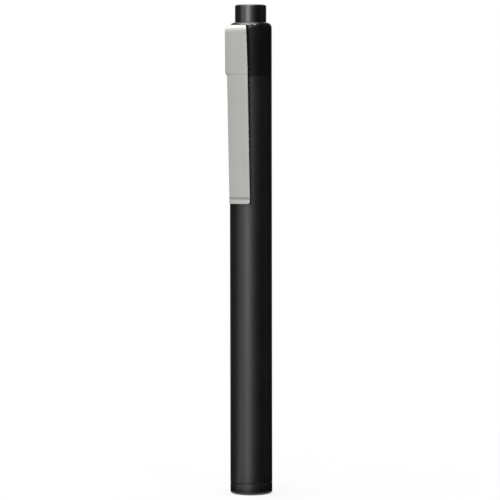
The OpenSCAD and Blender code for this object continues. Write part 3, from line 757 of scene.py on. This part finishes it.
neck_slot = block((-SLOT_HALF, -BODY_R - 1, RING_SEAT_Z), (SLOT_HALF, -POCKET_R, CAP_TOP_Z + 1))
cap_mesh = carved(turned_mesh(rounded(cap_corners)), neck_slot, "DIFFERENCE")
cap_turned = piece("cap_turned", cap_mesh, cap_black)
place(cap_turned, "tail", "cap_black", "tail_cap")

COLLAR_GAP = 0.02
COLLAR_Z = RING_TOP_Z + COLLAR_GAP
COLLAR_R = RING_SEAT_R - COLLAR_GAP
COLLAR_EDGE = 0.12
COLLAR_THIN = 0.02
KEY_HALF = NECK_W / 2 + 0.05
KEY_R = POCKET_R + 0.3
COLLAR_STEPS = 24


def collar_outline(outer_r):
    """The collar's section: flat below, following the cap's shoulder above."""
    top = [(r, shoulder(r), 0) for r in
           (outer_r - (outer_r - POCKET_R - COLLAR_EDGE) * k / COLLAR_STEPS for k in range(COLLAR_STEPS + 1))]
    top = [corner for corner in top if corner[1] > COLLAR_Z + COLLAR_THIN]
    return rounded([
        (POCKET_R, COLLAR_Z, 0.05), (outer_r, COLLAR_Z, 0), *top, (POCKET_R, shoulder(POCKET_R), 0.1)])


collar_key = carved(
    turned_mesh(collar_outline(BODY_R)),
    block((-KEY_HALF, -BODY_R - 1, COLLAR_Z - 1), (KEY_HALF, -KEY_R, CAP_TOP_Z + 1)), "INTERSECT")
collar_mesh = carved(turned_mesh(collar_outline(COLLAR_R)), collar_key, "UNION")
collar_ring = piece("collar_ring", collar_mesh, collar_black)
place(collar_ring, "tail", "collar_black", "tail_collar")

SEAL_STEPS = 20
cap_o_ring = piece("cap_o_ring", turned_mesh([
    (SPIGOT_R - SEAL_T / 2 + SEAL_T / 2 * math.cos(a), SEAL_Z + SEAL_T / 2 * math.sin(a), 0)
    for a in (math.tau * k / SEAL_STEPS for k in range(SEAL_STEPS))]), seal_rubber)
place(cap_o_ring, "cap_seal", "seal_rubber", "cap_seal_ring")

PITCH = 0.75
THREAD_TURNS = 8
THREAD_Z = 120.4
RIDGE_R = 0.3
THREAD_R = SPIGOT_R - RIDGE_R - 0.01
cap_thread = coil("cap_thread", cap_black, turns=THREAD_TURNS, low_r=THREAD_R, high_r=THREAD_R,
                  z_low=THREAD_Z, z_high=THREAD_Z + THREAD_TURNS * PITCH, wire_r=RIDGE_R, sides=4)
place(cap_thread, "tail", "cap_black")

battery_coil = coil("battery_coil", spring_steel, turns=5.5, low_r=1.69, high_r=2.6,
                    z_low=113.35, z_high=122.78, wire_r=0.29, sides=14)
place(battery_coil, "tail", "spring_steel", "battery_spring")

RETURN_LOW = 128.62
RETURN_HIGH = 132.88
return_coil = coil("return_coil", spring_steel, turns=3.5, low_r=2.65, high_r=2.65,
                   z_low=RETURN_LOW, z_high=RETURN_HIGH, wire_r=0.19, sides=12)
place(return_coil, "tail", "spring_steel", "switch_spring")
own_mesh(return_coil)


# Push button

RETAINER_LOW = 138.03
RETAINER_HIGH = 138.57
RETAINER_R = STEM_R - 0.5
DISH_RIM_R = 3.6
DISH_R = 3.3
DISH_Z = BUTTON_TOP_Z - 0.12
button_top = turned("button_top", [
    (0, STEM_Z, 0), (STEM_R, STEM_Z, 0.1), (STEM_R, RETAINER_LOW, 0), (RETAINER_R, RETAINER_LOW, 0),
    (RETAINER_R, RETAINER_HIGH, 0), (STEM_R, RETAINER_HIGH, 0), (STEM_R, BUTTON_Z, 0.1),
    (BUTTON_R, BUTTON_Z, 0.15), (BUTTON_R, BUTTON_TOP_Z, 0.55), (DISH_RIM_R, BUTTON_TOP_Z, 0.6),
    (DISH_R, DISH_Z, 0.6), (0, DISH_Z, 0)], button_black)
place(button_top, "button", "button_black", "push_button")


# Clip: one formed strip from its ring over the bend to the toe

CLIP_T = 0.8
CLIP_BEVEL = 0.06
BEND_DEPTH = 1.6
BEND_H = 2.4
PANEL_Z = RING_TOP_Z - BEND_H
JOGGLE_Z = 129.4
TOE_Z = 89.85
PANEL_GAP = 2.5
TOE_GAP = 0.1
CLIP_TOP_R = BODY_R + PANEL_GAP + CLIP_T
CLIP_TOE_R = BODY_R + TOE_GAP + CLIP_T
NECK_ROOT_R = 5.5
RING_IN_R = POCKET_R + 0.02
RING_OUT_R = RING_SEAT_R - 0.05
RING_LOW_Z = RING_SEAT_Z + 0.01
clip_sizes = {
    "Neck width": NECK_W, "Top width": 7.4, "Panel width": 7.8, "Arm width": 7.1,
    "Neck length": CLIP_TOP_R - BEND_DEPTH - NECK_ROOT_R, "Bend depth": BEND_DEPTH, "Bend height": BEND_H,
    "Crown": 0.14, "Length": PANEL_Z - TOE_Z, "Panel length": PANEL_Z - JOGGLE_Z, "Joggle length": 1.6,
    "Step": 0.55, "Fold length": 0.9, "Lip length": 1.4, "Lip out": 0.28, "Corner length": 0.7, "Corner depth": 0.5,
    "Rim width": 1.5, "Rim drop": 0.045, "Rim run": 1.2, "Top radius": CLIP_TOP_R, "Toe radius": CLIP_TOE_R,
    "Panel height": PANEL_Z}
strip_mesh = formed_strip_pattern().run(
    clip_steel, {**{name: size * MM for name, size in clip_sizes.items()}, "Rows": 380, "Columns": 21},
    ("SOLIDIFY", {"thickness": CLIP_T * MM, "offset": 1.0, "use_even_offset": True}),
    ("BEVEL", {"width": CLIP_BEVEL * MM, "segments": 2, "limit_method": "ANGLE", "angle_limit": math.radians(40)}))
clip_ring = turned_mesh(rounded([
    (RING_IN_R, RING_LOW_Z, 0.05), (RING_OUT_R, RING_LOW_Z, 0.05), (RING_OUT_R, RING_TOP_Z, 0.05),
    (RING_IN_R, RING_TOP_Z, 0.05)]))
clip_bm = bmesh.new()
clip_bm.from_mesh(strip_mesh)
clip_bm.from_mesh(clip_ring)
clip_strip = piece("clip_strip", to_mesh(clip_bm), clip_steel, smooth_angle=50)
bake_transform(clip_strip)
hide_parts("clip_root", "clip_arm")


# Stage: world, floor, light tent, lamps and camera

CAMERA_AZIMUTH = 28.2


def around(azimuth, distance, z):
    """A point round the light's axis, in metres. Azimuth is counted from the camera, to its right."""
    a = math.radians(CAMERA_AZIMUTH + azimuth)
    return Vector((math.sin(a) * distance, -math.cos(a) * distance, z)) * MM


def seen_background(tree):
    """1 for the rays that show the background: to the camera, in gloss and through glass."""
    camera_ray, glossy_ray, glass_ray = [tree.node("ShaderNodeLightPath", out=name) for name in (
        "Is Camera Ray", "Is Glossy Ray", "Is Transmission Ray")]
    return (camera_ray + glossy_ray + glass_ray).at_most(1.0)


AMBIENT = 0.75
world = bpy.data.worlds.new("studio")
scene.world = world
world.use_nodes = True
sky = Tree(world.node_tree)
dim, white = [sky.node("ShaderNodeBackground", None, {"Color": (1, 1, 1, 1), "Strength": level})
              for level in (AMBIENT, 1.0)]
sky.node("ShaderNodeOutputWorld", None, {
    "Surface": sky.node("ShaderNodeMixShader", None, {"Fac": seen_background(sky), 1: dim, 2: white})})


SHADOW_SHARE = 0.2
SHADOW_FADE = (0.02, 0.2)


def floor_finish():
    """White floor that keeps a faint shadow round the light and can be looked through from below."""
    f = Finish("floor_white")
    speck = f.noise(60, 2, 0.5)
    lit = f.node("ShaderNodeBsdfDiffuse", None, {"Color": f.tint(speck, grey(0.86), grey(0.9))})
    white = f.node("ShaderNodeEmission", None, {"Color": (1, 1, 1, 1), "Strength": 1.0})
    spot = f.node("ShaderNodeTexCoord", out="Object")
    distance = f.node("ShaderNodeVectorMath", {"operation": "LENGTH"}, {0: spot}, out="Value")
    plain = 1 - SHADOW_SHARE * (1 - f.step(distance, *SHADOW_FADE))
    mixed = f.node("ShaderNodeMixShader", None, {"Fac": seen_background(f) * plain, 1: lit, 2: white})
    under = f.node("ShaderNodeNewGeometry", out="Backfacing")
    clear = f.node("ShaderNodeBsdfTransparent")
    both = f.node("ShaderNodeMixShader", None, {"Fac": under, 1: mixed, 2: clear})
    f.node("ShaderNodeOutputMaterial", None, {"Surface": both})
    return f.material


def staged(name, corners, faces, finish):
    mesh = bpy.data.meshes.new(name)
    mesh.from_pydata([tuple(c) for c in corners], [], faces)
    mesh.materials.append(finish)
    made = bpy.data.objects.new(name, mesh)
    scene.collection.objects.link(made)
    return made


FLOOR_HALF = 6000
staged("floor", [Vector((x, y, 0)) * FLOOR_HALF * MM for x, y in ((-1, -1), (1, -1), (1, 1), (-1, 1))],
       [(0, 1, 2, 3)], floor_finish())

# The tent's glow by azimuth from the camera: the clip's reflection, a tall soft light front left, a faint strip to
# the right, and a soft light behind
TENT_GLOW = [
    (-138, 0.03), (-120, 0.03), (-100, 0.05), (-82, 0.05), (-72, 0.28), (-64, 0.57), (-51, 0.57), (-45, 0.33),
    (-38, 0.44), (-32, 1.28), (-24, 1.76), (-16, 1.68), (-8, 1.05), (0, 0.5), (12, 0.18), (27, 0.065),
    (42, 0.02), (60, 0.01), (80, 0.013), (86, 0.07), (94, 0.07), (100, 0.013), (120, 0.016), (152, 0.03),
    (162, 0.85), (198, 0.85), (208, 0.07), (222, 0.03)]
TENT_R = 620
TENT_FOOT = 1
TENT_TOP = 1500
TENT_STEP = 2


def tent_finish():
    """Cloth that glows by its attribute glow."""
    f = Finish("tent_cloth")
    glow = f.node("ShaderNodeAttribute", {"attribute_name": "glow"}, out="Fac")
    f.node("ShaderNodeOutputMaterial", None, {
        "Surface": f.node("ShaderNodeEmission", None, {"Color": glow, "Strength": 1.0})})
    return f.material


# Shares of the tent's glow, as tables by azimuth: all of it on the wall, less on the floor cloth round the light
WALL_SHARE = [(0, 1.0)]
FLOOR_DARK_SHARE = [(0, 0.1)]
FLOOR_NEAR_SHARE = [(-48, 1.4), (-40, 0.7)]
FLOOR_CLOTH_Z = 0.4
FLOOR_INNER_R = BODY_R + 0.5
FLOOR_DARK_R = 11
FLOOR_RISE_R = 17.6
FLOOR_NEAR_R = 250
FLOOR_WALL_R = 350


def between(table, x):
    """Straight-line reading of a table of (x, value), level beyond its ends."""
    for (a, low), (b, high) in zip(table, table[1:]):
        if x <= b:
            return low + (high - low) * (max(x, a) - a) / (b - a)
    return table[-1][1]


def tent_cloth(name, edges, finish):
    """A strip of the tent that glows by azimuth, through edges of (radius, height, table of shares)."""
    turns = list(range(TENT_GLOW[0][0], TENT_GLOW[-1][0] + 1, TENT_STEP))
    wide = len(edges)
    made = staged(name, [around(a, r, z) for a in turns for r, z, _ in edges],
                  [(wide * k + i, wide * (k + 1) + i, wide * (k + 1) + i + 1, wide * k + i + 1)
                   for k in range(len(turns) - 1) for i in range(wide - 1)], finish)
    glow = made.data.attributes.new("glow", "FLOAT", "POINT")
    glow.data.foreach_set("value", [
        between(TENT_GLOW, a) * between(share, a) for a in turns for _, _, share in edges])
    made.visible_camera = made.visible_diffuse = made.visible_transmission = made.visible_shadow = False


tent_glow = tent_finish()
tent_cloth("tent_wall", [(TENT_R, TENT_FOOT, WALL_SHARE), (TENT_R, TENT_TOP, WALL_SHARE)], tent_glow)
tent_cloth("tent_floor", [(r, FLOOR_CLOTH_Z, share) for r, share in (
    (FLOOR_INNER_R, FLOOR_DARK_SHARE), (FLOOR_DARK_R, FLOOR_DARK_SHARE), (FLOOR_RISE_R, FLOOR_NEAR_SHARE),
    (FLOOR_NEAR_R, FLOOR_NEAR_SHARE), (FLOOR_WALL_R, WALL_SHARE), (TENT_R, WALL_SHARE))], tent_glow)

MIDDLE_Z = 75.4


def softbox(name, azimuth, distance, z, width, height, radiance):
    """An area lamp that faces the middle of the light."""
    lamp = bpy.data.lights.new(name, "AREA")
    lamp.shape, lamp.size, lamp.size_y = "RECTANGLE", width * MM, height * MM
    lamp.energy = radiance * math.pi * lamp.size * lamp.size_y
    made = bpy.data.objects.new(name, lamp)
    scene.collection.objects.link(made)
    made.location = around(azimuth, distance, z)
    made.rotation_euler = (Vector((0, 0, MIDDLE_Z * MM)) - made.location).to_track_quat("-Z", "Y").to_euler()
    made.visible_camera = False


softbox("top", azimuth=-85, distance=250, z=900, width=900, height=900, radiance=1.35)
softbox("left_top", azimuth=-65, distance=480, z=480, width=420, height=260, radiance=0.5)
softbox("front_top_left", azimuth=-13, distance=500, z=780, width=120, height=220, radiance=5.0)
softbox("front_top_right", azimuth=29, distance=500, z=780, width=120, height=220, radiance=6.0)

CAMERA_DISTANCE = 750
CAMERA_HEIGHT = 113
CAMERA_ROLL = 0.093
SENSOR = 36
PIXELS_PER_MM = 3.238
FRAME_PIXELS = 500
AXIS_SHIFT = 0.25
camera_lens = bpy.data.cameras.new("view")
camera_lens.sensor_width = SENSOR
middle_distance = math.hypot(CAMERA_DISTANCE, CAMERA_HEIGHT - MIDDLE_Z)
camera_lens.lens = SENSOR * middle_distance * PIXELS_PER_MM / FRAME_PIXELS
camera_lens.clip_start = 0.01
camera = bpy.data.objects.new("view", camera_lens)
scene.collection.objects.link(camera)
turn = math.radians(CAMERA_AZIMUTH)
camera.location = (around(0, CAMERA_DISTANCE, CAMERA_HEIGHT)
                   - Vector((math.cos(turn), math.sin(turn), 0)) * AXIS_SHIFT * MM)
tilt = math.atan((CAMERA_HEIGHT - MIDDLE_Z) / CAMERA_DISTANCE)
camera.rotation_euler = (math.pi / 2 - tilt, math.radians(CAMERA_ROLL), turn)
scene.camera = camera
scene.view_settings.view_transform = "Standard"
